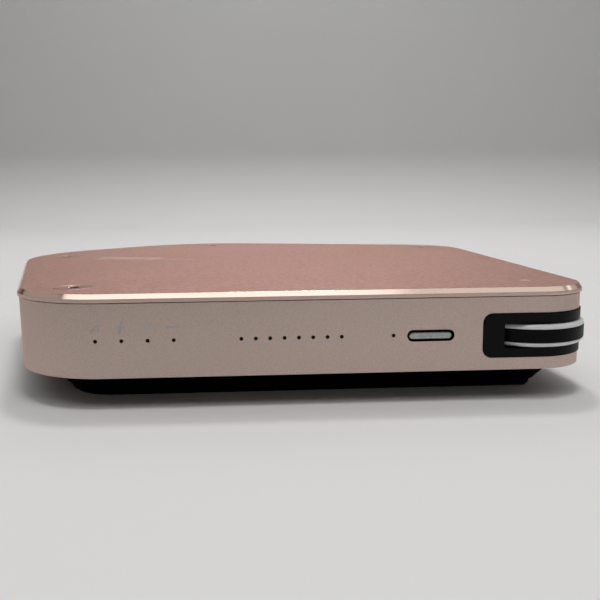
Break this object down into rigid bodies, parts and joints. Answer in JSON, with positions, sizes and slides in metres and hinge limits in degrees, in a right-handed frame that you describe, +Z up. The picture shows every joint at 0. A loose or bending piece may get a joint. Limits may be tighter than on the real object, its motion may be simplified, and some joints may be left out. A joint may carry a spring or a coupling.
{
  "type": "power bank",
  "caption": "Flat five-sided power bank with a rose anodised metal shell, tapered black base, corner thumb wheel, light dots and a small pill button.",
  "frame": {"origin": "middle of the bounding box in plan, on the surface that the foot pad stands on", "axes": "+Z up through the top plate; -Y is the face with the lights and the button; the thumb wheel is at the +X, -Y corner"},
  "size_m": [0.126, 0.126, 0.0207],
  "materials": {
    "plate_metal": "satin anodised, fine horizontal brushing, rose",
    "body_metal": "bead-blasted anodised, champagne rose",
    "black_plastic": "fine moulded texture, black",
    "rubber": "matt black",
    "wheel_plastic": "smooth pale grey",
    "button_metal": "satin silver",
    "steel": "polished",
    "brass": "turned",
    "circuit_board": "green solder mask",
    "chip": "black epoxy",
    "lens": "clear moulded plastic",
    "ferrite": "dark pressed ferrite",
    "foil": "laminated pouch foil",
    "foam": "closed-cell foam",
    "wire_red": "silicone insulation",
    "wire_black": "silicone insulation"
  },
  "bodies": {
    "housing": {"top_plate": "plate_metal", "body_frame": "body_metal", "base_cover": "black_plastic", "corner_bezel": "black_plastic", "axle_spacer": "black_plastic", "usb_a_1_tongue": "black_plastic", "usb_a_2_tongue": "black_plastic", "usb_c_tongue": "black_plastic", "foot_pad": "rubber", "plate_gasket": "rubber", "plate_screw_1": "steel", "plate_screw_2": "steel", "plate_screw_3": "steel", "plate_screw_4": "steel", "base_screw_1": "steel", "base_screw_2": "steel", "base_screw_3": "steel", "base_screw_4": "steel", "board_screw_1": "steel", "board_screw_2": "steel", "board_screw_3": "steel", "wheel_axle": "steel", "tact_switch": "steel", "usb_a_1_shell": "steel", "usb_a_2_shell": "steel", "usb_c_shell": "steel", "main_board": "circuit_board", "port_board": "circuit_board", "encoder_board": "circuit_board", "protection_board": "circuit_board", "controller_chip": "chip", "converter_chip": "chip", "hall_sensor": "chip", "status_light_guide": "lens", "gauge_light_guide": "lens", "power_light_guide": "lens", "gauge_led_array": "lens", "power_led": "lens", "status_led_1": "lens", "status_led_2": "lens", "status_led_3": "lens", "status_led_4": "lens", "power_inductor_1": "ferrite", "power_inductor_2": "ferrite", "lower_cell": "foil", "upper_cell": "foil", "output_capacitor_1": "foil", "output_capacitor_2": "foil", "cell_spacer": "foam", "cell_foam": "foam", "lead_positive": "wire_red", "lead_negative": "wire_black", "board_cable": "wire_black"},
    "wheel": {"wheel_core": "wheel_plastic", "wheel_band": "rubber", "wheel_bush": "brass", "wheel_magnet": "ferrite"},
    "button": {"power_button": "button_metal", "switch_plunger": "black_plastic"}
  },
  "joints": [
    {"name": "wheel_spin", "type": "hinge", "parent": "housing", "child": "wheel", "pos_m": [0.05199, -0.05199, 0.0118], "axis": [0, 0, 1], "continuous": true},
    {"name": "button_press", "type": "slide", "parent": "housing", "child": "button", "axis": [0, 1, 0], "range_m": [0, 0.00035], "stiffness_N_per_m": 900, "springref_m": -0.0002}
  ]
}
